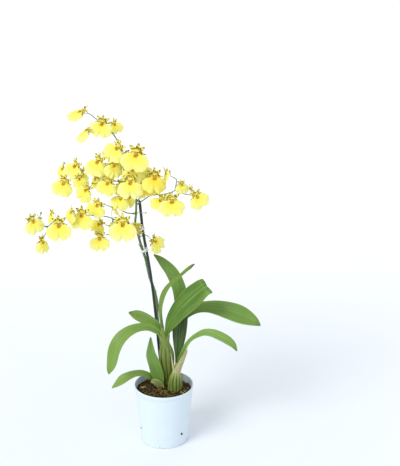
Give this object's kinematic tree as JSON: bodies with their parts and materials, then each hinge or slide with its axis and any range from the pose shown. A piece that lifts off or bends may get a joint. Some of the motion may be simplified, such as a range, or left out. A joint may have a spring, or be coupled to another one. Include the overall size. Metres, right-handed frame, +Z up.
{
  "type": "potted orchid",
  "caption": "Sympodial orchid in a plain tapered nursery pot, with ribbed pseudobulbs, arching strap leaves and a staked, branching spray of small ruffled yellow flowers",
  "frame": {"origin": "centre of the pot's flat underside", "axes": "+Z up along the pot's axis, -Y towards the front with the broad leaf and the most open flowers, +X to the right, the spray leaning to -X"},
  "size_m": [0.4501, 0.1883, 0.699],
  "materials": {
    "pot_plastic": "smooth, slightly glossy pale blue-white moulded plastic",
    "bark_mix": "damp dark bark chips and crumbs",
    "stake_coat": "dark green coated plant stick",
    "tie_wire": "pale twist tie",
    "green_stem": "smooth green plant stem",
    "leaf_green": "leathery satin leaf with lengthwise veins",
    "bulb_green": "ribbed waxy pseudobulb",
    "dry_bract": "papery pale sheath",
    "petal_yellow": "soft yellow petals with red-brown markings near the crest"
  },
  "bodies": {
    "root": {"bract_basal": "dry_bract", "bract_neck": "dry_bract", "flower_01": "petal_yellow", "flower_02": "petal_yellow", "flower_03": "petal_yellow", "flower_04": "petal_yellow", "flower_05": "petal_yellow", "flower_06": "petal_yellow", "flower_07": "petal_yellow", "flower_08": "petal_yellow", "flower_09": "petal_yellow", "flower_10": "petal_yellow", "flower_11": "petal_yellow", "flower_12": "petal_yellow", "flower_13": "petal_yellow", "flower_14": "petal_yellow", "flower_15": "petal_yellow", "flower_16": "petal_yellow", "flower_17": "petal_yellow", "flower_18": "petal_yellow", "flower_19": "petal_yellow", "flower_20": "petal_yellow", "flower_21": "petal_yellow", "flower_22": "petal_yellow", "flower_23": "petal_yellow", "flower_24": "petal_yellow", "flower_25": "petal_yellow", "flower_26": "petal_yellow", "flower_27": "petal_yellow", "flower_28": "petal_yellow", "flower_29": "petal_yellow", "flower_30": "petal_yellow", "flower_31": "petal_yellow", "flower_32": "petal_yellow", "flower_33": "petal_yellow", "flower_34": "petal_yellow", "flower_35": "petal_yellow", "flower_36": "petal_yellow", "flower_37": "petal_yellow", "flower_38": "petal_yellow", "flower_39": "petal_yellow", "flower_40": "petal_yellow", "flower_41": "petal_yellow", "flower_stem": "green_stem", "growing_medium": "bark_mix", "leaf_broad_front": "leaf_green", "leaf_left_arching": "leaf_green", "leaf_left_short": "leaf_green", "leaf_lower_left": "leaf_green", "leaf_right_arching": "leaf_green", "leaf_right_lower": "leaf_green", "leaf_small_upright": "leaf_green", "leaf_tall_rear": "leaf_green", "leaf_thin_upright": "leaf_green", "pot": "pot_plastic", "pseudobulb_front": "bulb_green", "pseudobulb_rear": "bulb_green", "stake": "stake_coat", "stem_tie_lower": "tie_wire", "stem_tie_upper": "tie_wire"}
  },
  "joints": []
}
